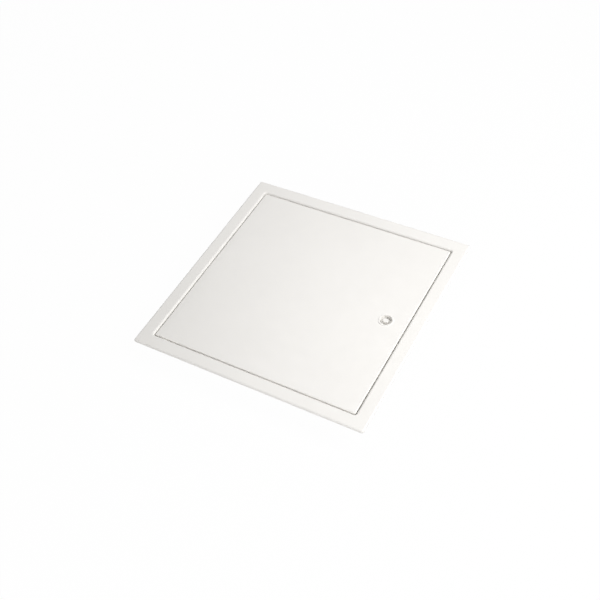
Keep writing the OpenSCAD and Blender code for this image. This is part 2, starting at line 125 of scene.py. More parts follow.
class PanelSizes(PropertyGroup):
    """Sizes of the pressed sheets, of their holes, and of what is welded to them."""

    face: length("Face height", "Height of the flange's face above the rear rims",
                 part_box("face_frame")[1].z)
    door_face: length("Door's face height", "Height of the door's face above the rear rims",
                      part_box("door_panel")[1].z)
    overall: length("Overall", "Width over the flange", 2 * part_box("face_frame")[1].x)
    opening: length("Opening", "Clear width of the opening", 0.398)
    door: length("Door", "Width of the door", 2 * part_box("door_panel")[1].x)
    sheet: length("Sheet", "Thickness of the frame, rail and door sheet", 0.0012)
    bend: length("Opening bend", "Outside radius of the bend round the opening", 0.004)
    lip_bend: length("Lip bend", "Outside radius of the bend at the flange's edge", 0.003)
    lip: length("Lip", "Height of the flange's turned edge", 0.004)
    depth: length("Return", "Depth of the turned-in edges", 0.014)
    door_bend: length("Door bend", "Outside radius of the bend at the door's edge", 0.002)
    opening_corner: length("Opening corner", "Corner radius of the opening", 0.0035)
    flange_corner: length("Flange corner", "Corner radius of the flange", 0.004)
    door_corner: length("Door corner", "Corner radius of the door", 0.0025)
    latch: length("Latch", "Distance of the latch from the panel's middle", 0.159)
    latch_hole: length("Latch hole", "Radius of the latch's hole in the door", 0.0127)
    pivot: place("Pivot", "Middle of the pivot axis", (-0.1755, 0.0, 0.0275))
    upper_bush: length("Upper bush", "Radius of the frame's hole for the upper bush", 0.00402)
    lower_pin: length("Lower pin", "Radius of the frame's hole for the fixed pin", 0.00252)
    spring_pin: length("Spring pin", "Radius of the door's hole for the spring pin", 0.00265)
    lower_bush: length("Lower bush", "Radius of the door's hole for the lower bush", 0.00352)
    hole_block: length("Hole block", "Half width of the fine points beside a pivot's hole", 0.0049)
    bracket: length("Bracket sheet", "Thickness of the strike and the stop tabs", 0.0015)
    stiffener: length("Stiffener sheet", "Thickness of the stiffeners", 0.001)
    lap: length("Lap", "Length of the tab that laps a rail's end onto its neighbour", 0.016)


class WeldSizes(PropertyGroup):
    """Sizes of the spot welds and of the corner beads."""

    radius: length("Radius", "Radius of a spot weld's mark", 0.0027)
    rise: length("Rise", "Height of a spot weld's ring", 0.00016)
    pitch: length("Pitch", "Distance between a rail's neighbouring spot welds", 0.042)
    each_side: number("Rail welds", "Spot welds on each side of a rail's middle", 4)
    rail_depth: length("Rail weld depth", "Depth of a rail's spot welds below the face", 0.0105)
    foot: length("Bracket weld height", "Height of a bracket's spot welds on its foot", 0.0045)
    row: number("Stiffener welds", "Spot welds along each flange of a stiffener", 8)
    row_end: length("Row end", "Distance from a stiffener's end to the first spot weld", 0.012)
    row_edge: length("Row edge", "Distance from a stiffener's side to its spot welds", 0.006)
    bead: length("Bead", "Radius of the weld bead in a rail's corner", 0.0013)
    bead_out: length("Bead offset", "Distance of the bead's axis from the sheets it joins", 0.0003)
    bead_foot: length("Bead foot", "Height of the bead's lower end above the rear rims", 0.0055)
    bead_length: length("Bead length", "Length of the bead", 0.0135)
    ripple: share("Ripple", "Height of a ripple, as a share of the bead's radius", 0.13)
    ripples: number("Ripples", "Ripples along a bead", 13)


class SpringSizes(PropertyGroup):
    """Sizes of the coil spring round the sliding pin."""

    wire: length("Wire", "Diameter of the spring's wire", 0.0008)
    mean: length("Mean diameter", "Mean diameter of the coil", 0.007)
    turns: number("Turns", "Turns of the coil", 10)
    travel: length("Travel", "How far the pin shortens the spring", 0.006)


class PanelFinishes(PropertyGroup):
    """Colours and textures of the panel's finishes."""

    coat: colour("Coat", "Colour of the white powder coat", (0.885, 0.866, 0.835))
    coat_roughness: share("Coat roughness", "Roughness of the powder coat", 0.42)
    # Painted shade: the keyway colour greys the disc low in the latch's well, where shade falls in
    # the recess, and the keyway depth sets how far below the peg's top that grey starts
    keyway: colour("Keyway", "Colour of the coat rubbed by keys, low in the keyway",
                   (0.71, 0.70, 0.68))
    keyway_depth: length("Keyway depth", "Depth of the rubbed disc below the peg's top", 0.0056)
    peel: length("Coat texture", "Width of one dimple of the coat's texture", 0.0013)
    zinc: colour("Zinc", "Colour of the zinc plate", (0.66, 0.67, 0.68))
    steel: colour("Steel", "Colour of the bright steel", (0.74, 0.74, 0.75))
    oxide: colour("Dark steel", "Colour of the dark spring steel", (0.17, 0.17, 0.175))
    nylon: colour("Nylon", "Colour of the nylon bushes", (0.84, 0.83, 0.78))
    rubber: colour("Rubber", "Colour of the rubber pads", (0.045, 0.045, 0.047))


class StageSettings(PropertyGroup):
    """The camera, the lamps and the floor."""

    lens: FloatProperty(name="Lens", description="Focal length on the camera's sensor",
                        default=56.353, unit="CAMERA")
    camera: place("Camera", "Place of the camera", (0.6279, -0.9340, 1.2995))
    aim: place("Aim", "Point that the camera looks at", (0.0002, -0.0221, 0.036))
    roll: FloatProperty(name="Roll", description="Turn of the camera about its view",
                        default=math.radians(-7.775), subtype="ANGLE")
    key: watts("Key", "Power of the key lamp, on the latch's side", 16.0)
    key_place: place("Key place", "Place of the key lamp", (1.142, 0.306, 0.923))
    side: watts("Side", "Power of the lamp beside the camera", 3.6)
    side_place: place("Side place", "Place of the lamp beside the camera", (0.591, -1.024, 0.923))
    back: watts("Back", "Power of the lamp behind the panel", 6.1)
    back_place: place("Back place", "Place of the lamp behind the panel", (-0.430, 0.745, 1.229))
    front: watts("Front", "Power of the low lamp in front", 5.2)
    front_place: place("Front place", "Place of the low lamp in front", (0.0, -1.370, 0.610))
    lamp_size: length("Lamp size", "Width of each lamp", 0.7)
    fill: FloatProperty(name="Fill", description="Strength of the even light", default=0.11)
    floor: colour("Floor", "Colour of the floor", (0.86, 0.86, 0.86))
    floor_reach: length("Floor reach", "Distance from the middle to the floor's edge", 4.0)
    floor_gap: length("Floor gap", "Gap between the floor and the rear rims", 0.0003)
    floor_roughness: share("Floor roughness", "Roughness of the floor", 0.9)
    floor_sheen: share("Floor sheen", "Specular level of the floor", 0.1)
    glow: share("Floor glow", "How far the floor shows plain white to the camera", 0.98)


def set_sockets(node, values):
    """Sets a node's own sockets by name."""
    for key, value in values.items():
        node.inputs[key].default_value = value


# Finishes


class Finish:
    """A node material under construction: one shader, fed by textures on Object coordinates."""

    def __init__(self, name, base, roughness, metallic=0.0, specular=0.5):
        self.material = bpy.data.materials.new(name)
        self.material.use_nodes = True
        self.nodes, self.links = self.material.node_tree.nodes, self.material.node_tree.links
        self.shader = self.nodes["Principled BSDF"]
        self.material.diffuse_color = (*base, 1.0)
        set_sockets(self.shader, {"Base Color": (*base, 1.0), "Roughness": roughness,
                                  "Metallic": metallic, "Specular IOR Level": specular})
        self.where = self.nodes.new("ShaderNodeTexCoord").outputs["Object"]

    def noise(self, scale, detail=2.0, roughness=0.5, stretch=None):
        """A noise texture whose features are 1 / scale metres wide, stretched along the axes."""
        where = self.where
        if stretch is not None:
            mapping = self.nodes.new("ShaderNodeMapping")
            mapping.inputs["Scale"].default_value = stretch
            self.links.new(where, mapping.inputs["Vector"])
            where = mapping.outputs["Vector"]
        texture = self.nodes.new("ShaderNodeTexNoise")
        set_sockets(texture, {"Scale": scale, "Detail": detail, "Roughness": roughness})
        self.links.new(where, texture.inputs["Vector"])
        return texture.outputs["Fac"]

    def height(self, low, high):
        """A value that goes from 0 to 1 as the height above the rear rims goes from low to high."""
        split = self.nodes.new("ShaderNodeSeparateXYZ")
        self.links.new(self.where, split.inputs["Vector"])
        spread = self.nodes.new("ShaderNodeMapRange")
        set_sockets(spread, {"From Min": low, "From Max": high})
        self.links.new(split.outputs["Z"], spread.inputs["Value"])
        return spread.outputs["Result"]

    def tint(self, value, low, high, start=0.35, end=0.65):
        """Colours the surface from low to high as the value goes from start to end."""
        ramp = self.nodes.new("ShaderNodeValToRGB")
        first, last = ramp.color_ramp.elements
        first.position, last.position = start, end
        first.color, last.color = (*low, 1.0), (*high, 1.0)
        self.links.new(value, ramp.inputs["Fac"])
        self.links.new(ramp.outputs["Color"], self.shader.inputs["Base Color"])

    def gloss(self, value, low, high):
        """Carries the value's middle range, 0.3 to 0.7, to a low and a high roughness."""
        spread = self.nodes.new("ShaderNodeMapRange")
        set_sockets(spread, {"From Min": 0.3, "From Max": 0.7, "To Min": low, "To Max": high})
        self.links.new(value, spread.inputs["Value"])
        self.links.new(spread.outputs["Result"], self.shader.inputs["Roughness"])

    def bump(self, value, height, strength):
        """Raises the surface by the value, up to a height in metres, over what is there."""
        bump = self.nodes.new("ShaderNodeBump")
        set_sockets(bump, {"Strength": strength, "Distance": height})
        self.links.new(value, bump.inputs["Height"])
        before = self.shader.inputs["Normal"].links
        if before:
            self.links.new(before[0].from_socket, bump.inputs["Normal"])
        self.links.new(bump.outputs["Normal"], self.shader.inputs["Normal"])


def shade(rgb, factor):
    """A colour times a factor, kept between 0 and 1."""
    return tuple(min(1.0, max(0.0, c * factor)) for c in rgb)


def white_coat(f):
    """Baked powder coat: even white, a fine dimpled skin, and faint clouds in gloss and tone."""
    m = Finish("white_coat", f.coat, f.coat_roughness)
    m.tint(m.noise(scale=14.0, detail=3.0), shade(f.coat, 0.992), shade(f.coat, 1.006))
    clouds = m.noise(scale=60.0, detail=3.0)
    m.gloss(clouds, low=f.coat_roughness - 0.05, high=f.coat_roughness + 0.05)
    dimples = m.noise(scale=1.0 / f.peel, detail=1.0, roughness=0.4)
    m.bump(dimples, height=0.00004, strength=0.35)
    m.bump(m.noise(scale=9.0, detail=1.0), height=0.0004, strength=0.12)
    return m.material


def keyway_coat(f):
    """The coat in the keyway, with painted shade: white on the peg, and a light grey on the disc
    below it.
    """
    m = Finish("keyway_coat", f.coat, f.coat_roughness)
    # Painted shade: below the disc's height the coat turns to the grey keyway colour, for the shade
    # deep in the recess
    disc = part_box("latch_spindle")[1].z - f.keyway_depth
    m.tint(m.height(low=disc - 0.0003, high=disc + 0.0005), f.keyway, f.coat, start=0.2, end=0.8)
    clouds = m.noise(scale=300.0, detail=3.0)
    m.gloss(clouds, low=f.coat_roughness - 0.06, high=f.coat_roughness + 0.08)
    m.bump(m.noise(scale=900.0), height=0.00003, strength=0.3)
    return m.material


def zinc_plate(f):
    """Passivated zinc plate: pale grey with blue and straw clouds over a satin surface."""
    m = Finish("zinc_plate", f.zinc, 0.34, metallic=1.0)
    red, green, blue = f.zinc
    m.tint(m.noise(scale=90.0, detail=4.0, roughness=0.6),
           (red * 0.93, green * 0.97, blue * 1.03), (red * 1.07, green * 1.04, blue * 0.98))
    m.gloss(m.noise(scale=700.0, detail=3.0), low=0.27, high=0.43)
    m.bump(m.noise(scale=2400.0, detail=3.0), height=0.00002, strength=0.4)
    return m.material


def bright_steel(f):
    """Turned or drawn steel: fine lines round the pins, which lie along Y."""
    m = Finish("bright_steel", f.steel, 0.24, metallic=1.0)
    m.tint(m.noise(scale=200.0, detail=3.0), shade(f.steel, 0.95), shade(f.steel, 1.03))
    lines = m.noise(scale=60.0, detail=4.0, roughness=0.7, stretch=(1.0, 90.0, 1.0))
    m.gloss(lines, low=0.17, high=0.33)
    m.bump(lines, height=0.00002, strength=0.35)
    return m.material


def dark_steel(f):
    """Spring steel with a black oxide, a little lighter where it has rubbed."""
    m = Finish("dark_steel", f.oxide, 0.42, metallic=1.0)
    m.tint(m.noise(scale=900.0, detail=4.0, roughness=0.65),
           shade(f.oxide, 0.75), shade(f.oxide, 1.5), start=0.3, end=0.75)
    m.gloss(m.noise(scale=500.0), low=0.33, high=0.52)
    m.bump(m.noise(scale=3000.0), height=0.00002, strength=0.3)
    return m.material


def nylon(f):
    """Moulded nylon: a soft ivory with a faint sheen and a fine matt skin."""
    m = Finish("nylon", f.nylon, 0.46, specular=0.45)
    set_sockets(m.shader, {"Subsurface Weight": 0.12, "Subsurface Radius": (0.001, 0.0008, 0.0005)})
    m.tint(m.noise(scale=220.0), shade(f.nylon, 0.97), shade(f.nylon, 1.02))
    m.gloss(m.noise(scale=1100.0), low=0.4, high=0.54)
    m.bump(m.noise(scale=2600.0), height=0.00002, strength=0.3)
    return m.material


def bumper_rubber(f):
    """Dense black rubber: matt, grainy, with a grey bloom in patches."""
    m = Finish("bumper_rubber", f.rubber, 0.78, specular=0.35)
    m.tint(m.noise(scale=260.0, detail=4.0, roughness=0.6),
           shade(f.rubber, 0.75), shade(f.rubber, 1.55), start=0.3, end=0.75)
    m.gloss(m.noise(scale=900.0), low=0.7, high=0.88)
    m.bump(m.noise(scale=2200.0, detail=3.0), height=0.00004, strength=0.5)
    return m.material


FINISHES = (white_coat, keyway_coat, zinc_plate, bright_steel, dark_steel, nylon, bumper_rubber)
# The node whose coat has painted shade low in its keyway
SHADED_NODE = "latch_spindle"


def finish_named(name):
    """The finish's material, which is made the first time it is asked for."""
    if name not in bpy.data.materials or not bpy.data.materials[name].get("panel_finish"):
        old = bpy.data.materials.get(name)
        if old is not None:
            old.name = name + ".frame"
        maker = {m.__name__: m for m in FINISHES}[name]
        maker(bpy.context.scene.panel_finishes)["panel_finish"] = True
    return bpy.data.materials[name]


# Meshes


def ladder(a, b):
    """Corner indices of the cells between two rows of points, which run side by side."""
    a, b = np.asarray(a), np.asarray(b)
    return np.stack([a[:-1], a[1:], b[1:], b[:-1]], axis=1)


def ring(a, b):
    """The cells between two closed loops of points."""
    return ladder(np.append(a, a[0]), np.append(b, b[0]))


def make_piece(name, points, faces, body, slot, sharp=32.0):
    """Makes a closed mesh whose faces point outwards, with its finish, and rides it on a body.

    An edge is shaded sharp where its faces meet at more than the sharp angle, in degrees."""
    mesh = bpy.data.meshes.new(name)
    mesh.from_pydata(np.asarray(points, float).tolist(), [], faces)
    bm = bmesh.new()
    bm.from_mesh(mesh)
    if not all(edge.is_manifold for edge in bm.edges):
        bm.free()
        raise RuntimeError(f"{name} has an open edge")
    bmesh.ops.recalc_face_normals(bm, faces=bm.faces)
    bm.to_mesh(mesh)
    bm.free()
    mesh.shade_smooth()
    mesh.set_sharp_from_angle(angle=math.radians(sharp))
    mesh.materials.append(finish_named(slot))
    piece = bpy.data.objects.new(name, mesh)
    bpy.context.scene.collection.objects.link(piece)
    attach(piece, body)
    return piece


def bend_line(middle, height, radius, start, end, steps):
    """A bend's section: half widths middle + radius * cos a, heights height + radius * sin a."""
    a = np.radians(np.linspace(start, end, steps + 1))
    return middle + radius * np.cos(a), height + radius * np.sin(a)


def section(*parts):
    """Joins the parts of a section, each a half width and a height, into two arrays."""
    pairs = [np.broadcast_arrays(np.atleast_1d(h).astype(float), z) for h, z in parts]
    return np.concatenate([p[0] for p in pairs]), np.concatenate([p[1] for p in pairs])


def wall_heights(bend, depth):
    """Heights of the rows down a turned wall, from the top of the corner's seam to the rim."""
    return -np.array([bend + SEAM_START, *HOLE_ROWS, depth - RIM_BEVEL])


def frame_section(s):
    """The closed section of the pressed frame: half widths, corner radii, heights and seam rows.

    It runs over the opening's bend, down the wall, round its rim and up the outer side, along
    the flange's back, round the lip, and over the face. The corner radius grows with the half
    width at each bend, so that the corners are parts of tori, and evenly between the bends."""
    inner, outer, bend, lip, sheet = s.opening / 2, s.overall / 2, s.bend, s.lip_bend, s.sheet
    wall = wall_heights(bend, s.depth)
    flat = np.array([inner + bend + FLAT_START, outer - lip - FLAT_START])
    half, z = section(
        bend_line(inner + bend, -bend, bend, 90, 180, steps=14),
        (inner, -bend - WALL_START), (inner, wall),
        (np.array([inner + BEVEL, inner + sheet - BEVEL]), -s.depth),
        (inner + sheet, wall[::-1]), (inner + sheet, -bend - WALL_START),
        bend_line(inner + bend, -bend, bend - sheet, 180, 90, steps=10),
        (flat, -sheet),
        bend_line(outer - lip, -lip, lip - sheet, 90, 0, steps=8),
        (outer - sheet, -s.lip + BEVEL),
        (np.array([outer - sheet + BEVEL, outer - BEVEL]), -s.lip),
        (outer, -s.lip + BEVEL),
        bend_line(outer - lip, -lip, lip, 0, 90, steps=12),
        (flat[::-1], 0.0))
    r1, r2 = s.opening_corner, s.flange_corner
    radius = np.interp(half, [inner, inner + bend, outer - lip, outer],
                       [r1, r1 + bend, r2 - lip, r2])
    return half, radius, s.face + z, np.flatnonzero(np.isclose(z, wall[0]))


def door_section(s):
    """The closed section of the door: half widths, corner radii, heights, seam rows and shares.

    It runs from the latch's hole over the face to the bend, down the edge, round its rim, up its
    inner side, and along the back to the hole. A share of one puts a row at the hole."""
    outer, bend, sheet = s.door / 2, s.door_bend, s.sheet
    wall = wall_heights(bend, s.depth)
    fan = np.array([1.0, 0.97, 0.85, 0.6, 0.3, 0.05])
    flat = np.full(len(fan), outer - bend)
    half, z = section(
        (flat, 0.0),
        bend_line(outer - bend, -bend, bend, 90, 0, steps=12),
        (outer, -bend - WALL_START), (outer, wall),
        (np.array([outer - BEVEL, outer - sheet + BEVEL]), -s.depth),
        (outer - sheet, wall[::-1]), (outer - sheet, -bend - WALL_START),
        bend_line(outer - bend, -bend, bend - sheet, 0, 90, steps=6),
        (flat, -sheet))
    share_in = np.zeros(len(z))
    share_in[: len(fan)], share_in[-len(fan):] = fan, fan[::-1]
    radius = s.door_corner - (outer - half)
    return half, radius, s.door_face + z, np.flatnonzero(np.isclose(z, wall[0])), share_in


def stations(pivot, spread, runs, steps=9, slit=3.6):
    """Places round a square with rounded corners: a corner share a and a direction d for each.

    A row with half width h and corner radius r has its points at (h - r) * a + r * d. On a corner
    a is the corner's sign and d turns through a quarter, with steps places on each side of the
    diagonal, which end slit degrees from it for the seam. On a side d is the side's normal and a
    runs from sign to sign in equal runs, with close places round the pivot's hole on the two
    sides that have one. The pivot and the spread of its places are shares of half the straight
    side. Returns a, d, the places before the seams, and the first and last place round each
    hole, by the sign of its side."""
    a, d, seams, holes, count = [], [], [], {}, 0
    near = np.linspace(-spread, spread, HOLE_PLACES)
    # Room between the even places and the close ones, and a hair against rounding
    apart, hair = 0.01, 1e-9
    for k in range(4):
        normal = np.array([(1, 0), (0, 1), (-1, 0), (0, -1)][k], float)
        along = np.array([-normal[1], normal[0]])
        w = np.linspace(-1, 1, runs + 1)[1:-1]
        if normal[1]:
            middle = pivot * along[0]
            w = np.sort(np.concatenate([w[np.abs(w - middle) > spread + apart], middle + near]))
            first = count + np.searchsorted(w, middle - spread - hair)
            holes[normal[1]] = (first, first + len(near) - 1)
        turn = np.concatenate([np.linspace(0, 45 - slit, steps), np.linspace(45 + slit, 90, steps)])
        turn = np.radians(turn)[:, None]
        a += [normal + w[:, None] * along, np.repeat([normal + along], 2 * steps, 0)]
        d += [np.repeat([normal], len(w), 0), np.cos(turn) * normal + np.sin(turn) * along]
        seams.append(count + len(w) + steps - 1)
        count += len(w) + 2 * steps
    return np.concatenate(a), np.concatenate(d), seams, holes


def carried(half, radius, z, a, d, hole=None, share_in=None):
    """Points of a section carried round a rounded square: (half - radius) * a + radius * d.

    A row with a share goes that far along the lines from there to the hole's circle, which lies
    at its middle + hole radius * the direction from its middle to each point."""
    xy = (half - radius)[:, None, None] * a + radius[:, None, None] * d
    if hole is not None:
        middle = np.array(hole[:2])
        out = xy - middle
        rim = middle + hole[2] * out / np.linalg.norm(out, axis=2, keepdims=True)
        xy += share_in[:, None, None] * (rim - xy)
    return np.concatenate([xy, np.broadcast_to(z[:, None, None], xy.shape[:2] + (1,))], 2)


def open_seams(index, keep, seams, top):
    """Opens a slit in each turned corner and returns the faces that close its sides and top.

    The cells between a seam's two places are left out from the upper row of one wall round the
    rim to that of the other, and the two walls' rows are joined across the sheet's thickness."""
    rows = np.arange(top[0], top[1] + 1)
    faces = []
    for s in seams:
        keep[rows[:-1], s] = False
        for line in (index[rows, s], index[rows, s + 1]):
            faces.append(ladder(line, line[::-1])[: len(line) // 2 - 1])
        faces.append([index[top, s].tolist() + index[top[::-1], s + 1].tolist()])
    return faces


def pivot_hole(points, index, keep, cols, top, centre, radius):
    """Cuts a round hole through both walls: returns its circles' points and the new faces.

    In each wall a block of cells is left out, and each point p of the block's border gets a point
    on the circle at centre + radius * (p - centre) / |p - centre| in the wall's plane. The block
    runs from the row above the seam's top to the lowest of the rows beside the hole."""
    faces, circles, start = [], [], len(points)
    c = np.arange(cols[0], cols[1] + 1)
    for first, way in ((top[0] - 1, 1), (top[1] + 1, -1)):
        r = first + way * np.arange(len(HOLE_ROWS) + 2)
        keep[r.min():r.max(), c[0]:c[-1]] = False
        loop = np.concatenate([index[r[0], c[:-1]], index[r[:-1], c[-1]],
                               index[r[-1], c[:0:-1]], index[r[:0:-1], c[0]]])
        out = points[loop][:, [0, 2]] - centre
        circle = points[loop].copy()
        circle[:, [0, 2]] = centre + radius * out / np.linalg.norm(out, axis=1, keepdims=True)
        names = start + np.arange(len(loop)) + len(loop) * len(circles)
        faces.append(ring(loop, names))
        circles.append((circle, names))
    faces.append(ring(circles[0][1], circles[1][1]))
    return np.concatenate([circle for circle, names in circles]), faces


def turned_sheet(name, body, grid, top, seams, holes, centre):
    """Makes a folded sheet from its grid of points, with open seams and the pivots' holes."""
    rows, cols = grid.shape[:2]
    points, index = grid.reshape(-1, 3), np.arange(rows * cols).reshape(rows, cols)
    keep = np.ones((rows, cols), bool)
    faces = open_seams(index, keep, seams, top)
    for cols_round, radius in holes:
        circle, more = pivot_hole(points, index, keep, cols_round, top, centre, radius)
        points, faces = np.concatenate([points, circle]), faces + more
    under, beside = np.roll(index, -1, 0), np.roll(index, -1, 1)
    cells = np.stack([index, under, np.roll(under, -1, 1), beside], 2)[keep]
    faces = np.concatenate([cells, *faces]).tolist()
    return make_piece(name, points, faces, body, "white_coat")


def rings_on(centres, normals, radii, heights, sides=12):
    """Closed discs of revolution on points of a surface, as points and faces.

    Ring k of a disc is at centre + radii[k] * (cos v, sin v) in the surface + heights[k] along
    the normal. The first and the last ring are closed by flat caps."""
    centres, normals = np.asarray(centres, float), np.asarray(normals, float)
    upright = np.abs(normals[:, 2:]) > 0.9
    u = np.cross(np.where(upright, [[1.0, 0, 0]], [[0, 0, 1.0]]), normals)
    u /= np.linalg.norm(u, axis=1, keepdims=True)
    v = np.cross(normals, u)
    turn = np.linspace(0, 2 * np.pi, sides, endpoint=False)
    flat = (np.cos(turn)[None, :, None] * u[:, None] + np.sin(turn)[None, :, None] * v[:, None])
    points = (centres[:, None, None] + np.asarray(radii)[None, :, None, None] * flat[:, None]
              + np.asarray(heights)[None, :, None, None] * normals[:, None, None])
    n, k = len(centres), len(radii)
    index = np.arange(n * k * sides).reshape(n, k, sides)
    over = np.roll(index, -1, 2)
    walls = np.stack([index[:, :-1], index[:, 1:], over[:, 1:], over[:, :-1]], 3).reshape(-1, 4)
    caps = index[:, [0, -1]].reshape(-1, sides)
    return points.reshape(-1, 3), walls.tolist() + caps.tolist()


def spot_marks(name, body, centres, normals, w):
    """Spot welds: shallow rings with a sunk middle, as the electrode leaves them."""
    radii = w.radius * np.array([0.22, 0.5, 0.72, 0.88, 1.0])
    heights = w.rise * np.array([0.35, 0.42, 1.0, 0.75, -0.4])
    points, faces = rings_on(centres, normals, radii, heights)
    return make_piece(name, points, faces, body, "white_coat", sharp=60)


def tube(path, radius, sides, u, v):
    """A tube round a path of points: path + radius * (cos a * u + sin a * v), closed by caps."""
    a = np.linspace(0, 2 * np.pi, sides, endpoint=False)
    round_it = np.cos(a)[None, :, None] * u[:, None] + np.sin(a)[None, :, None] * v[:, None]
    points = path[:, None] + radius[:, None, None] * round_it
    index = np.arange(len(path) * sides).reshape(len(path), sides)
    over = np.roll(index, -1, 1)
    walls = np.stack([index[:-1], index[1:], over[1:], over[:-1]], 2).reshape(-1, 4)
    return points.reshape(-1, 3), walls.tolist() + index[[0, -1]].tolist()


# Places of the spot welds, each with its middle and the direction that it faces


def rail_welds(w, s):
    """The spot welds along the outer faces of the four rails."""
    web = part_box("rail_right")[1].x
    steps = np.arange(-w.each_side, w.each_side + 1) * w.pitch
    level = np.full(len(steps), s.face - w.rail_depth)
    flat = np.full(len(steps), web)
    sides = [(flat, steps, level, (1, 0, 0)), (-flat, steps, level, (-1, 0, 0)),
             (steps, flat, level, (0, 1, 0)), (steps, -flat, level, (0, -1, 0))]
    centres = np.concatenate([np.stack(side[:3], 1) for side in sides])
    return centres, np.repeat([side[3] for side in sides], len(steps), 0)


def bracket_welds(w, s):
    """The spot welds on the feet of the strike and of the two stop tabs."""
    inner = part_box("stop_tab_upper")[1].x - s.bracket
    centres = []
    for node, count in (("strike_bracket", 3), ("stop_tab_upper", 2), ("stop_tab_lower", 2)):
        lo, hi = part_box(node)
        y = lo.y + (hi.y - lo.y) * (np.arange(count) + 0.5) / count
        centres.append(np.stack([np.full(count, inner), y, np.full(count, lo.z + w.foot)], 1))
    centres = np.concatenate(centres)
    return centres, np.repeat([(-1, 0, 0)], len(centres), 0)


def stiffener_welds(w, s):
    """The spot welds along both flanges of each stiffener."""
    level = np.full(w.row, s.door_face - s.sheet - s.stiffener)
    centres = []
    for node in ("stiffener_hinge_side", "stiffener_latch_side"):
        lo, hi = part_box(node)
        y = np.linspace(lo.y + w.row_end, hi.y - w.row_end, w.row)
        for x in (lo.x + w.row_edge, hi.x - w.row_edge):
            centres.append(np.stack([np.full(w.row, x), y, level], 1))
    centres = np.concatenate(centres)
    return centres, np.repeat([(0, 0, -1)], len(centres), 0)


# The pieces


class PANEL_OT_frame_sheet(Operator):
    """Builds the pressed frame with its soft bends"""

    bl_idname = "access_panel.frame_sheet"
    bl_label = "Frame sheet"

    def execute(self, context):
        s = context.scene.panel_sizes
        half, radius, z, top = frame_section(s)
        straight = s.opening / 2 - s.opening_corner
        a, d, seams, holes = stations(s.pivot[0] / straight, s.hole_block / straight, runs=12)
        grid = carried(half, radius, z, a, d)
        piece = turned_sheet("frame_sheet", "frame", grid, top, seams,
                             [(holes[1], s.upper_bush), (holes[-1], s.lower_pin)],
                             np.array(s.pivot)[[0, 2]])
        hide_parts("face_frame")
        return {"FINISHED"}


class PANEL_OT_door_sheet(Operator):
    """Builds the door with its bent edges and the latch's hole"""

    bl_idname = "access_panel.door_sheet"
    bl_label = "Door sheet"

    def execute(self, context):
        s = context.scene.panel_sizes
        half, radius, z, top, share_in = door_section(s)
        straight = s.door / 2 - s.door_corner
        a, d, seams, holes = stations(s.pivot[0] / straight, s.hole_block / straight, runs=20)
        grid = carried(half, radius, z, a, d, (s.latch, 0.0, s.latch_hole), share_in)
        piece = turned_sheet("door_sheet", "door", grid, top, seams,
                             [(holes[1], s.spring_pin), (holes[-1], s.lower_bush)],
                             np.array(s.pivot)[[0, 2]])
        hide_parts("door_panel")
        return {"FINISHED"}


class PANEL_OT_pin_spring(Operator):
    """Winds the coil spring round the sliding pin"""

    bl_idname = "access_panel.pin_spring"
    bl_label = "Pin spring"

    def execute(self, context):
        g = context.scene.panel_spring
        lo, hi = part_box("pin_spring")
        x, z = context.scene.panel_sizes.pivot[0], context.scene.panel_sizes.pivot[2]
        steps, sides = 40, 12
        # The path is (R cos a, rise, -R sin a): closed for one turn at each end, open between
        turns = np.linspace(0, g.turns, steps * g.turns + 1)
        run = hi.y - lo.y - g.wire
        closed = 1.05 * g.wire
        rise = np.interp(turns, [0, 1, g.turns - 1, g.turns], [0, closed, run - closed, run])
        angle = 2 * np.pi * turns
        out = np.stack([np.cos(angle), np.zeros_like(angle), -np.sin(angle)], 1)
        path = np.array([x, lo.y + g.wire / 2, z]) + g.mean / 2 * out
        path[:, 1] += rise
        points, faces = tube(path, np.full(len(path), g.wire / 2), sides, out,
                             np.broadcast_to([0.0, 1.0, 0.0], out.shape))
        piece = make_piece("pin_coil", points, faces, "door", "bright_steel", sharp=50)
        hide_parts("pin_spring")
        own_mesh(piece)
        return {"FINISHED"}


class PANEL_OT_spot_welds(Operator):
    """Marks the spot welds of the rails, the brackets and the stiffeners"""

    bl_idname = "access_panel.spot_welds"
    bl_label = "Spot welds"

    def execute(self, context):
        w, s = context.scene.panel_welds, context.scene.panel_sizes
        both = zip(rail_welds(w, s), bracket_welds(w, s))
        centres, normals = [np.concatenate(rows) for rows in both]
        spot_marks("frame_spot_welds", "frame", centres, normals, w)
        spot_marks("door_spot_welds", "door", *stiffener_welds(w, s), w)
        return {"FINISHED"}


class PANEL_OT_corner_beads(Operator):
    """Lays a weld bead along each lapped corner of the rails"""

    bl_idname = "access_panel.corner_beads"
    bl_label = "Corner beads"

    def execute(self, context):
        w, s = context.scene.panel_welds, context.scene.panel_sizes
        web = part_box("rail_right")[1].x
        rows, sides, tip = 60, 14, 0.004
        # The radius is bead * (1 + ripple * sin(2 pi ripples t)) * (1 - (2t - 1)^8)^(1/2) at t
        t = np.linspace(tip, 1 - tip, rows)
        rippled = w.bead * (1 + w.ripple * np.sin(2 * np.pi * w.ripples * t))
        radius = rippled * np.sqrt(1 - (2 * t - 1) ** 8)
        level = w.bead_foot + w.bead_length * t
        u, v = np.repeat([[1.0, 0.0, 0.0]], rows, 0), np.repeat([[0.0, 1.0, 0.0]], rows, 0)
        points, faces = [], []
        for sx in (-1, 1):
            for sy in (-1, 1):
                path = np.stack([np.full(rows, sx * (web - s.sheet - w.bead_out)),
                                 np.full(rows, sy * (web - s.lap - w.bead_out)), level], 1)
                p, f = tube(path, radius, sides, u, v)
                faces += [[i + len(points) * len(p) for i in face] for face in f]
                points.append(p)
        make_piece("corner_beads", np.concatenate(points), faces, "frame", "white_coat", sharp=60)
        return {"FINISHED"}


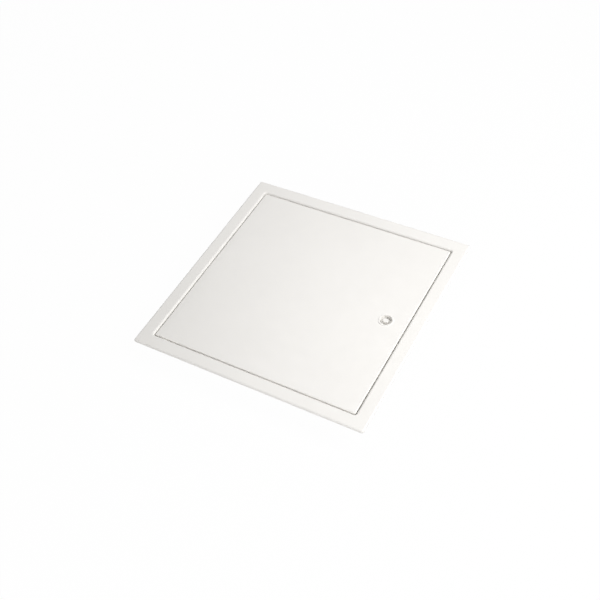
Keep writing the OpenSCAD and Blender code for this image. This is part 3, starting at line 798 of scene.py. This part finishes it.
class PANEL_OT_node_finishes(Operator):
    """Gives every carried-over part the finish of its slot, but the latch's spindle the coat with
    painted shade low in its keyway
    """

    bl_idname = "access_panel.node_finishes"
    bl_label = "Finishes of the parts"

    def execute(self, context):
        for row in frame["record"]["subparts"]:
            node = frame["nodes"][row["node"]]
            if not node.material_slots:
                raise RuntimeError(f"{node.name} has no material slot")
            # The latch's spindle takes the coat with painted shade low in its keyway
            gets_painted_shade = row["node"] == SHADED_NODE
            material = finish_named("keyway_coat" if gets_painted_shade else row["material_slot"])
            for holder in node.material_slots:
                holder.material = material
        return {"FINISHED"}


# The stage


def seen_as_backdrop(tree):
    """A socket that is one for camera, glossy and transmission rays."""
    path = tree.nodes.new("ShaderNodeLightPath")
    value = path.outputs["Is Camera Ray"]
    for name in ("Is Glossy Ray", "Is Transmission Ray"):
        either = tree.nodes.new("ShaderNodeMath")
        either.operation = "MAXIMUM"
        tree.links.new(value, either.inputs[0])
        tree.links.new(path.outputs[name], either.inputs[1])
        value = either.outputs["Value"]
    return value


def mixed(tree, amount, first, second):
    """A shader that goes from the first to the second as the amount goes from 0 to 1."""
    mix = tree.nodes.new("ShaderNodeMixShader")
    tree.links.new(amount, mix.inputs["Fac"])
    tree.links.new(first.outputs[0], mix.inputs[1])
    tree.links.new(second.outputs[0], mix.inputs[2])
    return mix.outputs[0]


def add_camera(g, scene):
    """The camera at the photograph's viewing angle."""
    camera = bpy.data.objects.new("camera", bpy.data.cameras.new("camera"))
    camera.data.lens, camera.data.sensor_width = g.lens, SENSOR
    look = Vector(g.aim) - Vector(g.camera)
    camera.rotation_mode = "QUATERNION"
    camera.location = g.camera
    camera.rotation_quaternion = look.to_track_quat("-Z", "Y") @ Quaternion((0, 0, 1), g.roll)
    scene.collection.objects.link(camera)
    scene.camera = camera


def add_lamps(g, scene):
    """Four soft square lamps, each turned to the origin."""
    for name in ("key", "side", "back", "front"):
        light = bpy.data.lights.new(name, "AREA")
        light.shape, light.size, light.energy = "SQUARE", g.lamp_size, getattr(g, name)
        lamp = bpy.data.objects.new(name, light)
        lamp.location = getattr(g, name + "_place")
        lamp.rotation_mode = "QUATERNION"
        lamp.rotation_quaternion = lamp.location.to_track_quat("Z", "Y")
        scene.collection.objects.link(lamp)


def add_sky(g, scene):
    """A weak even light, which shows plain white as a backdrop."""
    world = bpy.data.worlds.new("studio")
    world.use_nodes = True
    tree = world.node_tree
    even, plain = tree.nodes["Background"], tree.nodes.new("ShaderNodeBackground")
    set_sockets(even, {"Color": WHITE, "Strength": g.fill})
    set_sockets(plain, {"Color": WHITE, "Strength": 1.0})
    shown = mixed(tree, seen_as_backdrop(tree), even, plain)
    tree.links.new(shown, tree.nodes["World Output"].inputs["Surface"])
    scene.world = world


def floor_paint(g):
    """Pale matt paint, which shows nearly plain white as a backdrop and keeps a faint shadow."""
    material = bpy.data.materials.new("floor")
    material.use_nodes = True
    tree = material.node_tree
    paint, glow = tree.nodes["Principled BSDF"], tree.nodes.new("ShaderNodeEmission")
    set_sockets(paint, {"Base Color": (*g.floor, 1.0), "Roughness": g.floor_roughness,
                        "Specular IOR Level": g.floor_sheen})
    amount = tree.nodes.new("ShaderNodeMath")
    amount.operation = "MULTIPLY"
    amount.inputs[1].default_value = g.glow
    tree.links.new(seen_as_backdrop(tree), amount.inputs[0])
    shown = mixed(tree, amount.outputs["Value"], paint, glow)
    tree.links.new(shown, tree.nodes["Material Output"].inputs["Surface"])
    return material


def add_floor(g, scene):
    """The square floor just below the panel."""
    mesh = bpy.data.meshes.new("floor")
    corners = g.floor_reach * np.array([(-1, -1), (1, -1), (1, 1), (-1, 1)])
    mesh.from_pydata([(x, y, -g.floor_gap) for x, y in corners], [], [(0, 1, 2, 3)])
    mesh.materials.append(floor_paint(g))
    floor = bpy.data.objects.new("floor", mesh)
    scene.collection.objects.link(floor)


class PANEL_OT_stage(Operator):
    """Sets the camera, the lamps, the backdrop and the floor"""

    bl_idname = "access_panel.stage"
    bl_label = "Stage"

    def execute(self, context):
        g, scene = context.scene.panel_stage, context.scene
        scene.view_settings.view_transform = "Standard"
        add_camera(g, scene)
        add_lamps(g, scene)
        add_sky(g, scene)
        add_floor(g, scene)
        return {"FINISHED"}


class PANEL_PT_side(Panel):
    """Lists the access panel's sizes, finishes and pieces"""

    bl_label = "Access panel"
    bl_idname = "PANEL_PT_side"
    bl_space_type = "VIEW_3D"
    bl_region_type = "UI"
    bl_category = "Access panel"

    def draw(self, context):
        """Lists each group's values in a box, and a button for each operator below."""
        for name, title, kind in GROUPS:
            box = self.layout.box()
            box.label(text=title)
            for key in kind.__annotations__:
                box.prop(getattr(context.scene, name), key)
        for operator in OPERATORS:
            self.layout.operator(operator.bl_idname)


GROUPS = (("panel_sizes", "Sheet", PanelSizes), ("panel_welds", "Welds", WeldSizes),
          ("panel_spring", "Spring", SpringSizes), ("panel_finishes", "Finishes", PanelFinishes),
          ("panel_stage", "Stage", StageSettings))
OPERATORS = (PANEL_OT_frame_sheet, PANEL_OT_door_sheet, PANEL_OT_pin_spring, PANEL_OT_spot_welds,
             PANEL_OT_corner_beads, PANEL_OT_node_finishes, PANEL_OT_stage)
CLASSES = tuple(kind for name, title, kind in GROUPS) + OPERATORS + (PANEL_PT_side,)


def register():
    """Adds the classes, and a group of settings to each scene for every row of GROUPS."""
    for kind in CLASSES:
        bpy.utils.register_class(kind)
    for name, title, kind in GROUPS:
        setattr(bpy.types.Scene, name, PointerProperty(type=kind))


def unregister():
    """Takes away what register adds."""
    for name, title, kind in GROUPS:
        delattr(bpy.types.Scene, name)
    for kind in reversed(CLASSES):
        bpy.utils.unregister_class(kind)


def main():
    """Builds the looks in order."""
    register()
    bpy.ops.access_panel.frame_sheet()
    bpy.ops.access_panel.door_sheet()
    bpy.ops.access_panel.pin_spring()
    bpy.ops.access_panel.spot_welds()
    bpy.ops.access_panel.corner_beads()
    bpy.ops.access_panel.node_finishes()
    bpy.ops.access_panel.stage()


if __name__ == "__main__":
    main()
